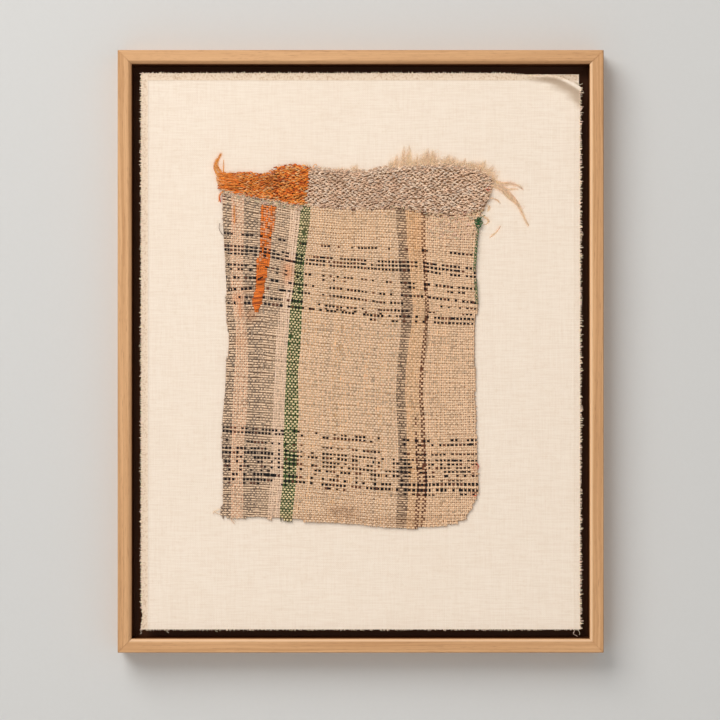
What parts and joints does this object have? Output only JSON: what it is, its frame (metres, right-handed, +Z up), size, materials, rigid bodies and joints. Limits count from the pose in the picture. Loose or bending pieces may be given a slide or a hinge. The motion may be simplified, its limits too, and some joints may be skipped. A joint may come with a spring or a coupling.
{
  "type": "framed kilim fragment in an oak float frame",
  "caption": "Flat-woven striped wool fragment with a thick band and frayed ends, sewn to a raw-edged linen mount that floats on a panel in a slim mitred oak frame.",
  "frame": {"origin": "on the back of the frame's top rail, at its middle, where the frame hangs against the wall", "axes": "+Z up, +X to the right seen from the front, and +Y into the wall, so the front faces -Y"},
  "size_m": [0.5, 0.032, 0.62],
  "materials": {
    "oak": "clear matt oil",
    "board": "bare plywood",
    "linen": "plain weave",
    "wool": "flat weave with warp stripes",
    "orange_wool": "loose spun wool",
    "peach_wool": "loose spun wool",
    "green_wool": "plied wool"
  },
  "bodies": {
    "root": {"rail_top": "oak", "rail_bottom": "oak", "rail_left": "oak", "rail_right": "oak", "mount_panel": "board", "under_cloth": "linen", "mount_cloth": "linen", "kilim": "wool", "corner_tuft": "orange_wool", "top_fuzz": "peach_wool", "side_tuft": "peach_wool", "green_edge": "green_wool"}
  },
  "joints": []
}
